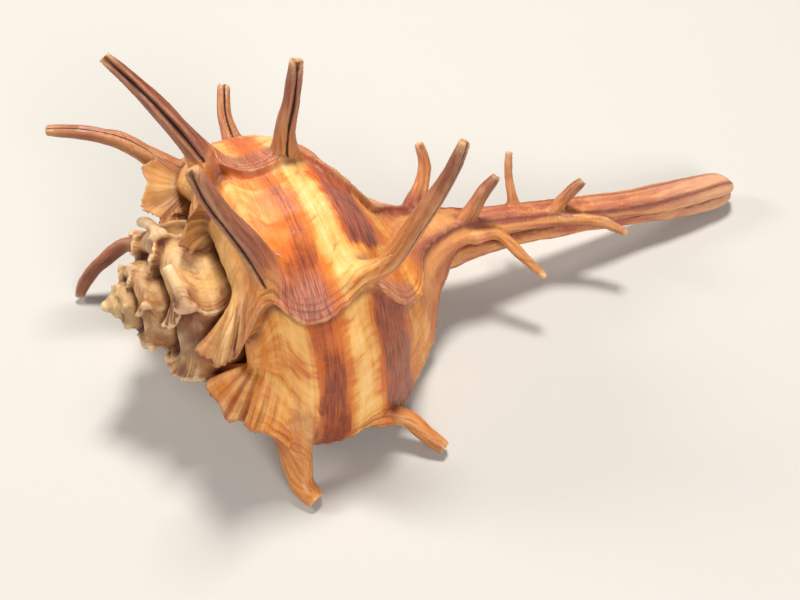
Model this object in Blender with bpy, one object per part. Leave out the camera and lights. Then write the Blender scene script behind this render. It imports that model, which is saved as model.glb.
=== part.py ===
"""Horned murex shell, one fused piece.

The shell lies on the tips of two shoulder spines and on its long siphonal canal,
which points along +X. The spire points along -X and the aperture faces down.

It is drawn in millimetres as the animal grew it. A whorl profile turns about the
coiling axis and grows by a fixed factor each turn. Every sixth of a turn it stopped
and built a varix, a raised old lip with open horns. All of this is laid out as
overlapping closed surfaces and then fused into one solid.
"""

import math

import bpy
import numpy as np

# Size and stance, in millimetres and degrees.
SHELL_LENGTH = 150.0        # apex to canal tip along the coiling axis
AXIS_DIP = 9.3              # the canal end lies lower than the spire
CANAL_TIP = (75.0, 0.0, 4.5)
ORIGIN_SHIFT = (0.7, 1.9, -1.4)

# Coil.
WHORL_GROWTH = 1.87         # how much larger each turn is than the last
LIP_ANGLE = 108.0           # where the lip stands, measured from the top towards -Y
VARIX_STEP = 60.0           # six varices to a turn
SPIRE_TURNS = 6.4
SWELL = 0.12                # extra size of the whorl half a turn before the lip
SWELL_TURN = -0.47
SWELL_WIDTH = 0.10
SPIRE_END = -0.97           # turn at which the spire meets the last whorl
LAST_WHORL_START = -1.02

# Whorl profile at the lip: distance from the axis, distance from the apex.
PROFILE = [
    (13.0, 22.5), (18.3, 25.3), (24.3, 22.2), (31.0, 27.2), (33.3, 33.0),
    (33.5, 42.0), (30.0, 52.0), (20.8, 60.5), (10.6, 67.5), (5.8, 76.0),
    (4.5, 90.0), (4.0, 115.0), (4.4, 138.0), (3.4, 147.0), (0.0, 150.5),
]
# The canal bows upward between the body and its tip: distance from the apex, rise.
CANAL_BOW = [
    (56.0, 0.0), (66.0, 0.5), (76.0, 1.2), (86.0, 1.6), (96.0, 1.5), (106.0, 1.0),
    (116.0, 0.5), (126.0, 0.1), (138.0, 0.1), (150.5, 0.6),
]
BODY_END = 7.0              # profile station where the siphonal canal starts
CANAL_START = 9.0           # from here on the profile no longer grows

# How far the old lips run ahead of a straight line, in degrees, by profile station.
LIP_WAVE = [
    (0.0, 26.0), (1.2, 25.0), (2.3, 20.0), (3.1, 1.0), (3.6, 11.0), (4.1, 14.0),
    (4.6, 12.5), (5.1, 8.0), (5.5, 3.0), (6.1, 16.0), (6.6, 21.5), (7.2, 23.0),
    (7.9, 0.0), (8.9, -24.0), (9.7, -23.0), (10.4, -12.0), (11.1, 4.0), (11.5, -4.0),
    (12.3, -20.0), (14.0, -30.0),
]
# On the ramp the last lip runs closer to a straight line than the ones before it.
LAST_LIP_WAVE = [(0.0, 0.0), (0.7, 4.0), (1.2, 4.0), (1.8, -8.0), (2.5, -11.0), (3.1, 0.0)]
# Height of the varix above the whorl, by profile station.
VARIX_HEIGHT = [
    (0.0, 0.0), (0.6, 2.5), (0.95, 6.0), (1.2, 8.3), (1.6, 9.0), (2.3, 7.8), (2.8, 6.0),
    (3.2, 3.4), (4.0, 1.4), (5.0, 1.4), (5.6, 1.8), (6.3, 1.6), (7.2, 1.8), (8.0, 1.2),
    (9.0, 0.6), (10.0, 0.4), (12.0, 0.3), (14.0, 0.0),
]

VARIX_CLIMB = 0.42          # share of the interval in which the shell climbs to the varix
VARIX_DROP = 0.045          # and in which it drops again after it
# On the ramp the varix is a frill: how much of that height each varix keeps there.
FRILL_SHARE = [(-4.0, 0.60), (-3.0, 1.10), (-2.0, 0.75), (-1.0, 1.0), (0.0, 0.85)]
FRILL_LEAN = 0.45           # how far a frill leans towards growth, as a share of its height
FLUTE_HEIGHT = 0.12         # fluting of the frill, as a share of its height
FLUTES_PER_STATION = 2.7

# Spines of the last turn. Each path runs outward, towards the apex and back
# against growth, in millimetres from the foot, which stands on the varix or just before it.
# varix, foot station, path, half widths at the foot and at the tip, flare of the foot
SPINES = [
    (-0.1, 3.4, [(4.3, -0.1, -4.2), (9.0, -0.5, -7.3), (13.4, -2.4, -7.2)], 6.2, 1.7, 0.35),
    (0, 5.5, [(2.5, -4.2, 0.8), (7.2, -7.6, 0.4), (10.4, -10.3, 0.4)], 3.4, 1.4, 0.9),
    (-1.1, 3.3, [(5.3, 4.4, 7.9), (10.1, 10.4, 16.7), (13.5, 13.4, 21.7)], 4.0, 1.3, 0.9),
    (-1.07, 5.3, [(5.2, -4.5, 1.6), (12.4, -10.0, 9.9), (17.5, -13.5, 16.1),
                  (21.2, -15.5, 21.5)], 4.2, 1.0, 0.9),
    (-2.07, 3.1, [(5.3, 3.0, 0.7), (13.1, 8.9, 4.9), (20.2, 15.7, 8.8)], 4.4, 1.2, 0.9),
    (-2.07, 5.1, [(7.4, -0.1, -0.9), (12.4, -1.1, -0.7), (20.6, -2.1, -0.2)], 3.8, 1.3, 0.9),
    (-3.05, 3.1, [(7.3, 8.0, -2.5), (11.1, 15.2, -2.4), (13.8, 23.2, -1.5)], 3.8, 1.0, 0.9),
    (-3, 4.8, [(7.6, 0.3, 0.1), (14.7, -1.2, -0.4)], 3.2, 1.2, 0.9),
    (-4, 3.1, [(8.1, 4.2, -7.9), (13.4, 10.4, -4.6), (17.0, 14.4, -0.2),
               (18.8, 15.9, 3.1)], 3.4, 1.1, 0.9),
    (-4, 5.3, [(5.0, 0.5, -4.0), (7.5, 0.5, -8.0)], 2.6, 1.0, 0.9),
]
# Stubs on the spire, by the size of their whorl. The two latest lie back along the shoulder.
LYING_STUB = [(1.2, 1.2, 5.0), (0.2, 2.4, 10.0), (-3.0, 3.6, 15.0)]
SHORT_STUB = [(2.2, 1.4, 0.8), (4.0, 3.2, 1.6)]
# Spines of the canal: angle, distance from the apex, path, half widths, flare.
CANAL_SPINES = [
    (-26.0, 67.0, [(6.9, -2.3, 0.8), (12.0, -1.8, 2.4)], 2.8, 0.9, 0.9),
    (10.0, 76.5, [(6.6, -3.0, 1.8), (11.0, -5.4, 2.4)], 3.0, 1.0, 0.9),
    (-26.0, 90.0, [(7.1, 0.1, 2.1), (12.0, -0.7, 3.1)], 1.8, 0.7, 0.9),
    (13.0, 99.0, [(4.5, -2.9, 1.1), (7.5, -5.2, 1.4)], 2.4, 1.0, 0.9),
    (55.0, 79.0, [(1.6, -4.0, -0.3), (4.3, -7.7, -5.3), (6.9, -11.3, -10.2)], 2.6, 0.8, 0.9),
    (50.0, 101.0, [(3.9, -6.6, -1.8), (7.1, -11.2, -5.4)], 2.4, 0.9, 0.9),
    (-80.0, 72.0, [(3.0, -0.5, 1.0), (5.0, -0.8, 1.5)], 2.0, 0.8, 0.9),
    (-82.0, 93.0, [(2.2, -0.5, 0.8), (3.6, -0.8, 1.0)], 1.6, 0.8, 0.9),
]

# Beads of the first whorls: radius, distance from the apex and from the axis, angle.
NUCLEUS = [(1.2, 0.8, 0.2, 60.0), (1.6, 2.1, 0.5, 250.0), (2.2, 3.8, 0.7, 80.0)]

# Aperture in the lip face: distance from the apex, centre from the axis, half width.
APERTURE = [
    (27.0, 21.5, 0.0), (28.2, 21.6, 3.5), (31.0, 21.8, 6.4), (35.0, 21.8, 8.2),
    (40.0, 20.8, 8.6), (45.0, 18.2, 7.0), (49.0, 15.8, 4.6), (53.0, 13.4, 2.3),
    (56.0, 11.8, 1.3), (62.0, 9.6, 1.1), (69.0, 7.6, 1.0), (72.0, 6.9, 0.4),
]
# The lip face runs ahead of the lip angle: distance from the apex, degrees.
LIP_FACE = [
    (22.0, 6.0), (27.0, 3.0), (33.0, 9.0), (42.0, 7.0), (52.0, 13.0), (61.0, 20.0),
    (68.0, 2.0), (76.0, -20.0),
]
APERTURE_DEPTH = 0.42       # turns that the hollow runs back into the shell
APERTURE_PINCH = 0.45       # how much narrower the hollow ends than its whorl
APERTURE_MIDDLE = (21.0, 39.0)
SLIT_FOOT = (13.4, 53.0)    # behind the lip the hollow closes up towards this point
SLIT_DEPTH = 0.55           # share of the canal's radius
SLIT_HALF_ANGLE = 15.0
RIM_RADIUS = 1.5
RIM_END = 57.0              # the rim fades into the canal at this distance from the apex
LIP_WALL = 2.6

# Every spine starts thin, this far inside the shell, and carries a groove on the side of growth.
ROOT_DEPTH = 2.6
GROOVE_DEPTH = 0.62
GROOVE_HALF_ANGLE = 0.30
WEB_REACH = 0.9             # a web fills the angle on the canal side of an older shoulder horn
TIP_RECESS = 1.4

# Fusing.
FUSE_GRAIN = 0.75
TRIANGLES = 9400

MM = 0.001


def smooth_step(x):
    x = np.clip(x, 0.0, 1.0)
    return x * x * (3.0 - 2.0 * x)


def curve(points, t):
    """Smooth curve through the points, t counted in points."""
    p = np.asarray(points, float)
    t = np.asarray(t, float)
    i = np.clip(t.astype(int), 0, len(p) - 2)
    f = (t - i)[:, None]

    def at(k):
        return p[np.clip(k, 0, len(p) - 1)]

    a, b, c, d = at(i - 1), at(i), at(i + 1), at(i + 2)
    return 0.5 * (2 * b + (c - a) * f + (2 * a - 5 * b + 4 * c - d) * f ** 2
                  + (3 * b - a - 3 * c + d) * f ** 3)


def table(rows, t):
    rows = np.asarray(rows, float)
    return np.interp(t, rows[:, 0], rows[:, 1])


def rounded(rows, t):
    """The table with its corners rounded."""
    return np.mean([table(rows, t + shift) for shift in np.linspace(-0.25, 0.25, 7)], axis=0)


DIP = math.radians(AXIS_DIP)
ALONG = np.array([math.cos(DIP), 0.0, -math.sin(DIP)])
ABOVE = np.array([math.sin(DIP), 0.0, math.cos(DIP)])
FRONT = np.array([0.0, -1.0, 0.0])
APEX = np.array(CANAL_TIP) - SHELL_LENGTH * ALONG


def outward(angle):
    a = np.radians(np.asarray(angle, float))[..., None]
    return np.cos(a) * ABOVE + np.sin(a) * FRONT


def place(r, u, angle):
    """Point at distance r from the axis, u from the apex, at an angle about the axis."""
    r = np.asarray(r, float)[..., None]
    u = np.asarray(u, float)[..., None]
    return APEX + u * ALONG + r * outward(angle) + table(CANAL_BOW, u) * ABOVE


def varix_rise(q):
    """How far the growth line q has risen to a varix: 1 on the old lip, 0 between two."""
    m = q * 360.0 / VARIX_STEP
    behind = np.ceil(m - 1e-9) - m
    ahead = m - np.floor(m + 1e-9)
    return np.maximum(np.clip(1.0 - behind / VARIX_CLIMB, 0.0, 1.0) ** 2,
                      np.exp(-(ahead / VARIX_DROP) ** 2))


def growth_line(q, t):
    """Radius, distance from the apex and angle along the growth line q turns back."""
    step = 0.02
    ru = curve(PROFILE, t)
    tangent = curve(PROFILE, np.clip(t + step, 0, 14)) - curve(PROFILE, np.clip(t - step, 0, 14))
    tangent /= np.linalg.norm(tangent, axis=1)[:, None] + 1e-9
    normal = np.stack([tangent[:, 1], -tangent[:, 0]], -1)
    wave = rounded(LIP_WAVE, t)
    if q > -VARIX_STEP / 360.0:
        last = smooth_step(1.0 + q * 360.0 / VARIX_STEP)
        wave += last * np.where(t < 3.1, table(LAST_LIP_WAVE, t) - wave, 0.0)
    turn = q + wave / 360.0
    swell = SWELL * np.exp(-((turn - SWELL_TURN) / SWELL_WIDTH) ** 2)
    size = WHORL_GROWTH ** turn * (1.0 + swell)
    canal = smooth_step((t - BODY_END) / (CANAL_START - BODY_END))
    size = size * (1.0 - canal) + canal
    flutes = FLUTE_HEIGHT * np.cos(2 * math.pi * FLUTES_PER_STATION * t)
    rise = varix_rise(q)
    ramp = smooth_step((3.2 - t) / 0.8)
    keep = table(FRILL_SHARE, np.round(q * 360.0 / VARIX_STEP + 0.2))
    height = rise * table(VARIX_HEIGHT, t) * (1.0 - ramp * (1.0 - keep))
    lean = FRILL_LEAN * rise * height * ramp / ru[:, 0].clip(10.0)
    lift = height * (1.0 + flutes * ramp)
    ru = (ru + normal * lift[:, None]) * size[:, None]
    gap = np.abs((q + 0.5) % 1.0 - 0.5) * 360.0
    slit = 1.0 - SLIT_DEPTH * np.exp(-(gap / SLIT_HALF_ANGLE) ** 2) * smooth_step((t - 8.2) / 0.8)
    return ru[:, 0] * slit, ru[:, 1], LIP_ANGLE + 360.0 * turn + np.degrees(lean)


def grid_faces(rows, columns, start, closed=False):
    last = columns if closed else columns - 1
    return [(start + i * columns + j, start + i * columns + (j + 1) % columns,
             start + (i + 1) * columns + (j + 1) % columns, start + (i + 1) * columns + j)
            for i in range(rows - 1) for j in range(last)]


def section(q, stations):
    """Growth line q with a point on the axis before and after it."""
    r, u, angle = growth_line(q, stations)
    return (np.concatenate([[0.0], r, [0.0]]), np.concatenate([u[:1], u, u[-1:]]),
            np.concatenate([angle[:1], angle, angle[-1:]]))


def sweep(first, last, step, stations):
    """The sections between two turns, and flat walls that close both ends at the axis."""
    count = int(round((last - first) * 360.0 / step)) + 1
    sections = [section(q, stations) for q in np.linspace(first, last, count)]
    rows = [place(*s) for s in sections]
    r, u, angle = sections[0]
    rows.insert(0, place(0.0 * r, u, angle))
    return rows, sections[-1]


def spire():
    stations = np.linspace(0.0, BODY_END, 71)
    rows, (r, u, angle) = sweep(-SPIRE_TURNS, SPIRE_END, 2.0, stations)
    rows.append(place(0.0 * r, u, angle))
    return np.concatenate(rows), grid_faces(len(rows), len(r), 0, closed=True)


def lip_angle_at(u):
    """Angle of the wavy lip face at a distance from the apex."""
    return LIP_ANGLE + table(LIP_FACE, u)


def aperture_at(u):
    """Middle and half width of the aperture at a distance from the apex."""
    rows = np.asarray(APERTURE, float)
    middle = np.interp(u, rows[:, 0], rows[:, 1])
    return middle, np.interp(u, rows[:, 0], rows[:, 2], left=0.0, right=0.0)


def last_whorl():
    """The last turn with its canal, the lip face and the hollow behind the aperture."""
    stations = np.concatenate([np.linspace(0.0, 9.0, 120), np.linspace(9.15, 14.0, 34)])
    rows, (r, u, angle) = sweep(LAST_WHORL_START, 0.0, 1.0, stations)
    n = len(r)
    # The lip edge has the thickness of the shell wall before the face turns inward.
    inward = np.stack([-np.gradient(u), np.gradient(r)], -1)
    inward /= np.linalg.norm(inward, axis=1)[:, None] + 1e-9
    wall = np.concatenate([[0.0], LIP_WALL * smooth_step((8.0 - stations) / 1.0), [0.0]])
    r, u = r + inward[:, 0] * wall, u + inward[:, 1] * wall
    rows.append(place(r, u, angle))
    middle, half = aperture_at(u)
    open_here = (half > 0.05) & (np.arange(n) > 20)
    middle = np.where(open_here, middle, 0.5 * r)
    half = np.where(open_here, half, 0.0)
    rows.append(place(middle + half, u, lip_angle_at(u)))
    rows.append(place(middle - half, u, lip_angle_at(u)))
    rows.append(place(0.0 * r, u, lip_angle_at(u)))
    verts = list(np.concatenate(rows))
    faces = grid_faces(len(rows) - 2, n, 0, closed=True)
    faces += grid_faces(2, n, (len(rows) - 2) * n, closed=True)
    outer = (len(rows) - 3) * n
    faces += [(outer + j, outer + j + 1, outer + n + j + 1, outer + n + j)
              for j in range(n - 1) if not (open_here[j] and open_here[j + 1])]
    # The hollow: the outline of the aperture, shrinking as it winds back.
    across = np.concatenate([(middle + half)[open_here], (middle - half)[open_here][::-1]])
    along = np.concatenate([u[open_here], u[open_here][::-1]])
    hole = len(verts)
    rings = 76
    for i in range(rings):
        q = -APERTURE_DEPTH * i / (rings - 1)
        size = WHORL_GROWTH ** q
        pinch = 1.0 - APERTURE_PINCH * (q / APERTURE_DEPTH) ** 2
        foot = smooth_step(-q / 0.05) * (along > SLIT_FOOT[1])
        ring_r = across + foot * (SLIT_FOOT[0] - across)
        ring_u = along + foot * (SLIT_FOOT[1] - along)
        ring_r = (APERTURE_MIDDLE[0] + (ring_r - APERTURE_MIDDLE[0]) * pinch) * size
        ring_u = (APERTURE_MIDDLE[1] + (ring_u - APERTURE_MIDDLE[1]) * pinch) * size
        verts.extend(place(ring_r, ring_u, lip_angle_at(along) + 360.0 * q))
    faces += grid_faces(rings, len(along), hole, closed=True)
    end = len(verts)
    verts.append(np.mean(verts[-len(along):], axis=0))
    faces += [(end - len(along) + j, end - len(along) + (j + 1) % len(along), end)
              for j in range(len(along))]
    return np.array(verts), faces


def tube(path, across, radii_a, radii_b, groove=None, open_tip=0.0, sides=20):
    """Closed tube along a path. radii_a lie along `across`, radii_b at right angles to it."""
    path = np.asarray(path, float)
    direction = np.gradient(path, axis=0)
    direction /= np.linalg.norm(direction, axis=1)[:, None]
    theta = np.linspace(0, 2 * math.pi, sides, endpoint=False)
    verts = []
    for i, centre in enumerate(path):
        a = across - direction[i] * (across @ direction[i])
        a /= np.linalg.norm(a)
        b = np.cross(direction[i], a)
        ring = np.ones(sides)
        if groove is not None:
            away = np.minimum(theta, 2 * math.pi - theta)
            ring -= groove[i] * np.exp(-(away / GROOVE_HALF_ANGLE) ** 2)
        verts.append(centre + (ring * np.cos(theta) * radii_a[i])[:, None] * a
                     + (ring * np.sin(theta) * radii_b[i])[:, None] * b)
    verts = list(np.concatenate(verts))
    faces = grid_faces(len(path), sides, 0, closed=True)
    base = len(path) * sides
    verts.append(path[0])
    verts.append(path[-1] - direction[-1] * open_tip)
    for j in range(sides):
        k = (j + 1) % sides
        faces.append((j, k, base))
        faces.append((base - sides + j, base - sides + k, base + 1))
    return np.array(verts), faces


def spine(foot, out, growth, path, foot_half, tip_half, flare, web=False, worn=False):
    """A horn with an open groove on the side of growth, the web beside it, or a worn horn."""
    via = [foot + p[0] * out - p[1] * ALONG - p[2] * growth for p in path]
    lean = via[0] - foot
    lean /= np.linalg.norm(lean)
    points = [foot - ROOT_DEPTH * (0.7 * out + 0.3 * lean), foot] + via
    t = np.linspace(0, len(points) - 1, 26)
    line = curve(points, t)
    reach = np.clip((t - 1) / (len(points) - 2), 0.0, 1.0)
    root = 0.25 + 0.75 * smooth_step(t / 0.9)
    width = (tip_half + (foot_half * 0.62 - tip_half) * (1 - reach) ** 0.9) * root
    flare = foot_half * flare * np.exp(-((t - 0.3) / 0.75) ** 2) * root
    if web:
        shift = WEB_REACH * foot_half * (1 - reach) ** 1.5
        line = line + shift[:, None] * (ALONG - 0.6 * out) * smooth_step(t / 0.8)[:, None]
        width = width * (1 - 0.6 * reach)
        return tube(line, growth, 0.8 * width, width)
    if worn:
        return tube(line, growth, width + 0.25 * flare, width + flare)
    groove = GROOVE_DEPTH * smooth_step((t - 0.6) / 0.8)
    return tube(line, growth, width + 0.25 * flare, width + flare, groove, TIP_RECESS)


def varix_spines():
    for varix, station, path, foot_half, tip_half, flare in SPINES:
        q = varix * VARIX_STEP / 360.0
        r, u, angle = growth_line(q, np.array([station]))
        out = outward(angle[0])
        growth = outward(angle[0] + 90.0)
        foot = place(r[0] - 1.5, u[0], angle[0])
        yield spine(foot, out, growth, path, foot_half, tip_half, flare)
        if station < 4.0 and varix < -0.5:
            yield spine(foot, out, growth, path, foot_half, tip_half, flare, web=True)


def spire_spines():
    """Worn stubs of the older shoulder spines, left standing on the spire."""
    for varix in range(-7, -26, -1):
        q = varix * VARIX_STEP / 360.0
        r, u, angle = growth_line(q, np.array([3.1]))
        size = WHORL_GROWTH ** q
        out = outward(angle[0])
        growth = outward(angle[0] + 90.0)
        foot = place(r[0] - 1.2 * size, u[0], angle[0])
        worn = varix > -9
        path = np.array(LYING_STUB if worn else SHORT_STUB) * size
        yield spine(foot, out, growth, path, 4.6 * size, 2.2 * size, 0.9, worn=worn)


def canal_spines():
    for angle, u, path, foot_half, tip_half, flare in CANAL_SPINES:
        stations = np.linspace(8.0, 13.0, 200)
        along = curve(PROFILE, stations)
        r = np.interp(u, along[:, 1], along[:, 0])
        out, growth = outward(angle), outward(angle + 90.0)
        yield spine(place(r - 0.8, u, angle), out, growth, path, foot_half, tip_half, flare)


def aperture_rim():
    """A bead around the aperture, thick on the side of the columella, thin at its ends."""
    t = np.linspace(-1.0, 1.0, 90)
    u = np.interp(np.abs(t), [0.0, 1.0], [APERTURE[0][0], RIM_END])
    middle, half = aperture_at(u)
    radius = RIM_RADIUS * np.where(t < 0, 1.35, 0.8)
    radius = radius * (1.0 - 0.85 * smooth_step((np.abs(t) - 0.7) / 0.3))
    line = place(middle + np.sign(t) * (half + 0.8), u, lip_angle_at(u))
    return tube(line, outward(LIP_ANGLE + 100.0), radius, radius, sides=10)


def nucleus():
    """The beads of the first whorls at the very top of the spire."""
    along = np.linspace(-1.0, 1.0, 9)
    for size, u, r, angle in NUCLEUS:
        line = place(r, u, angle) + size * along[:, None] * ALONG
        radius = size * np.sqrt(np.clip(1.02 - along ** 2, 0.05, 1.0))
        yield tube(line, ABOVE, radius, radius, sides=12)


def gather(pieces):
    verts, faces = [], []
    count = 0
    for v, f in pieces:
        verts.append(v)
        faces += [tuple(k + count for k in face) for face in f]
        count += len(v)
    return np.concatenate(verts), faces


def shell_material():
    material = bpy.data.materials.new("shell")
    material.use_nodes = True
    shader = material.node_tree.nodes["Principled BSDF"]
    shader.inputs["Base Color"].default_value = (0.62, 0.30, 0.10, 1.0)
    shader.inputs["Roughness"].default_value = 0.45
    return material


def build_shell():
    verts, faces = gather([spire(), last_whorl(), aperture_rim(), *nucleus(),
                           *varix_spines(), *spire_spines(), *canal_spines()])
    verts = (verts + np.array(ORIGIN_SHIFT)) * MM
    mesh = bpy.data.meshes.new("murex_shell")
    mesh.from_pydata(verts.tolist(), [], faces)
    shell = bpy.data.objects.new("murex_shell", mesh)
    bpy.context.scene.collection.objects.link(shell)
    mesh.materials.append(shell_material())
    fuse = shell.modifiers.new("fuse", "REMESH")
    fuse.mode = "VOXEL"
    fuse.voxel_size = FUSE_GRAIN * MM
    soften = shell.modifiers.new("soften", "SMOOTH")
    soften.factor = 0.5
    soften.iterations = 2
    count = len(shell.evaluated_get(bpy.context.evaluated_depsgraph_get()).data.polygons)
    thin = shell.modifiers.new("thin", "DECIMATE")
    thin.ratio = TRIANGLES / (2.0 * count)
    thin.use_collapse_triangulate = True
    return shell


for old in list(bpy.data.objects):
    bpy.data.objects.remove(old, do_unlink=True)
build_shell()
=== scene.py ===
"""Looks of the horned murex shell.

The shell is drawn again from the coil that its solid follows, with a finer grain, sharper
lips, open horns and spiral cords. The same growth coordinates then carry its colours.
Shape values are in millimetres and degrees, as the animal grew it, and the mesh is in metres.
"""

import math

import bpy
import numpy as np
from mathutils import Matrix, Vector, noise
from mathutils.bvhtree import BVHTree


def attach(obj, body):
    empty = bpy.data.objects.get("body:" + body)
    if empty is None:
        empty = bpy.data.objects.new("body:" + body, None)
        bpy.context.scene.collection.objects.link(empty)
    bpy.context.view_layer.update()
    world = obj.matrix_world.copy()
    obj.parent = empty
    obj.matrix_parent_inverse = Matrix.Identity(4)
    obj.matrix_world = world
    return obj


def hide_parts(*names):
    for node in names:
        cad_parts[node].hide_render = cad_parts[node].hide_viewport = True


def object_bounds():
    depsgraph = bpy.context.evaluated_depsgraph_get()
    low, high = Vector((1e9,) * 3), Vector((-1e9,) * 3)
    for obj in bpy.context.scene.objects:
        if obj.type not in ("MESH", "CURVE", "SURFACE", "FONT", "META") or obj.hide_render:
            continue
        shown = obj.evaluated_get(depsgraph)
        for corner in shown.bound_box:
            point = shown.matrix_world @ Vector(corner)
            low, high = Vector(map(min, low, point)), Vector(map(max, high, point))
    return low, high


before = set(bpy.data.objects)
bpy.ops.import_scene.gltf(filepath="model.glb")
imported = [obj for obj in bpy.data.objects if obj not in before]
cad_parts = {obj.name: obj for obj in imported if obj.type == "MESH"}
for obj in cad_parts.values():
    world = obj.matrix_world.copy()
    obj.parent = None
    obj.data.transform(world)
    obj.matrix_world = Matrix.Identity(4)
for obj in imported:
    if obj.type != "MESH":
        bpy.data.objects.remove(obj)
cad_low, cad_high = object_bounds()

MM = 0.001
TINY = 1e-9

# Size and stance.
SHELL_LENGTH = 150.0
AXIS_DIP = 9.3
CANAL_TIP = (75.0, 0.0, 4.5)
ORIGIN_SHIFT = (0.7, 1.9, -1.4)

# Coil. The size is multiplied by WHORL_GROWTH in each turn.
WHORL_GROWTH = 1.87
LIP_ANGLE = 108.0
VARIX_STEP = 60.0
VARICES_PER_TURN = 360.0 / VARIX_STEP
SPIRE_TURNS = 6.4
SWELL = 0.12
SWELL_TURN = -0.47
SWELL_WIDTH = 0.10
SPIRE_END = -0.97
LAST_WHORL_START = -1.02
SPIRE_STEP = 1.0
LAST_WHORL_STEP = 0.75

# Whorl profile at the lip: distance from the axis, distance from the apex.
PROFILE = [
    (13.0, 22.5), (18.3, 25.3), (24.3, 22.2), (31.0, 27.2), (33.3, 33.0),
    (33.5, 42.0), (30.0, 52.0), (20.8, 60.5), (10.6, 67.5), (5.8, 76.0),
    (4.5, 90.0), (4.0, 115.0), (4.4, 138.0), (3.4, 147.0), (0.0, 150.5),
]
# Stations count the points of the profile, from the suture to the tip of the canal.
SHOULDER = 3.1
MID_WHORL = 4.5
BODY_END = 7.0
CANAL_START = 9.0
LAST_STATION = 14.0
SPIRE_SAMPLES = 106
BODY_SAMPLES = 136
CANAL_SAMPLES = 50
# Rise of the canal off its straight line, by distance from the apex.
CANAL_BOW = [
    (56.0, 0.0), (66.0, 0.5), (76.0, 1.2), (86.0, 1.6), (96.0, 1.5), (106.0, 1.0),
    (116.0, 0.5), (126.0, 0.1), (138.0, 0.1), (150.5, 0.6),
]

# How far the lip runs ahead of the growth line, in degrees by station.
LIP_WAVE = [
    (0.0, 26.0), (1.2, 25.0), (2.3, 20.0), (3.1, 1.0), (3.6, 11.0), (4.1, 14.0),
    (4.6, 12.5), (5.1, 8.0), (5.5, 3.0), (6.1, 16.0), (6.6, 21.5), (7.2, 23.0),
    (7.9, 0.0), (8.9, -24.0), (9.7, -23.0), (10.4, -12.0), (11.1, 4.0), (11.5, -4.0),
    (12.3, -20.0), (14.0, -30.0),
]
LAST_LIP_WAVE = [(0.0, 0.0), (0.7, 4.0), (1.2, 4.0), (1.8, -8.0), (2.5, -11.0), (3.1, 0.0)]
# Height of an old lip at the size of the last whorl, by station.
VARIX_HEIGHT = [
    (0.0, 0.0), (0.6, 2.5), (0.95, 6.0), (1.2, 8.3), (1.6, 9.0), (2.3, 7.8), (2.8, 6.0),
    (3.2, 3.4), (4.0, 1.4), (5.0, 1.4), (5.6, 1.8), (6.3, 1.6), (7.2, 1.8), (8.0, 1.2),
    (9.0, 0.6), (10.0, 0.4), (12.0, 0.3), (14.0, 0.0),
]
VARIX_CLIMB = 0.42
VARIX_DROP = 0.022
# Share of its height that an old lip keeps on the shoulder, by varix.
FRILL_SHARE = [(-4.0, 0.60), (-3.0, 1.10), (-2.0, 0.75), (-1.0, 1.0), (0.0, 0.85)]
FRILL_LEAN = 0.45
FRILL_START = 3.2
FRILL_RUN = 0.8
LEAN_RADIUS = 10.0
FLUTE_HEIGHT = 0.12
FLUTES_PER_STATION = 2.7

# Horns of the last turn: varix, foot station, path (outward, towards the apex, back against
# growth) from the foot, half widths at the foot and at the tip, and how mauve the horn is at
# the foot and at the tip.
SPINES = [
    (-0.1, 3.4, [(4.3, -0.1, -4.2), (9.0, -0.5, -7.3), (13.4, -2.4, -7.2)], 6.2, 1.7, 0.05, 0.12),
    (0, 5.5, [(2.5, -4.2, 0.8), (7.2, -7.6, 0.4), (10.4, -10.3, 0.4)], 3.4, 1.4, 0.10, 0.35),
    (-1.1, 3.3, [(5.3, 4.4, 7.9), (10.1, 10.4, 16.7), (13.5, 13.4, 21.7)], 4.0, 1.3, 0.80, 0.95),
    (-1.07, 5.3, [(5.2, -4.5, 1.6), (12.4, -10.0, 9.9), (17.5, -13.5, 16.1), (21.2, -15.5, 21.5)],
     4.2, 1.0, 0.10, 1.00),
    (-2.07, 3.1, [(5.3, 3.0, 0.7), (13.1, 8.9, 4.9), (20.2, 15.7, 8.8)], 4.4, 1.2, 0.75, 1.00),
    (-2.07, 5.1, [(7.4, -0.1, -0.9), (12.4, -1.1, -0.7), (20.6, -2.1, -0.2)], 3.8, 1.3, 0.40, 0.90),
    (-3.05, 3.1, [(7.3, 8.0, -2.5), (11.1, 15.2, -2.4), (13.8, 23.2, -1.5)], 3.8, 1.0, 0.35, 1.00),
    (-3, 4.8, [(7.6, 0.3, 0.1), (14.7, -1.2, -0.4)], 3.2, 1.2, 0.35, 0.65),
    (-4, 3.1, [(8.1, 4.2, -7.9), (13.4, 10.4, -4.6), (17.0, 14.4, -0.2), (18.8, 15.9, 3.1)],
     3.4, 1.1, 0.90, 1.00),
    (-4, 5.3, [(5.0, 0.5, -4.0), (7.5, 0.5, -8.0)], 2.6, 1.0, 0.30, 0.40),
]
# Paths of the stubs on the spire, at the size of the last whorl.
LYING_STUB = [(1.2, 1.2, 5.0), (0.2, 2.4, 10.0), (-3.0, 3.6, 15.0)]
SHORT_STUB = [(2.2, 1.4, 0.8), (4.0, 3.2, 1.6)]
# Horns whose side towards the spire is pale, by varix and station.
PALE_SIDES = {(-1.1, 3.3): 1.0, (-2.07, 3.1): 0.25, (-3.05, 3.1): 0.15}
# How wide the slits of these horns stand open, and those of the others.
OPEN_SLITS = {(-1.1, 3.3): 1.0, (-2.07, 3.1): 1.0, (-2.07, 5.1): 0.8, (-3.05, 3.1): 0.3}
SLIT_OPENING = 0.5
# Flare of the foot of these horns, and of the others.
OWN_FLARES = {(-0.1, 3.4): 0.35}
FLARE = 0.9
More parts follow.
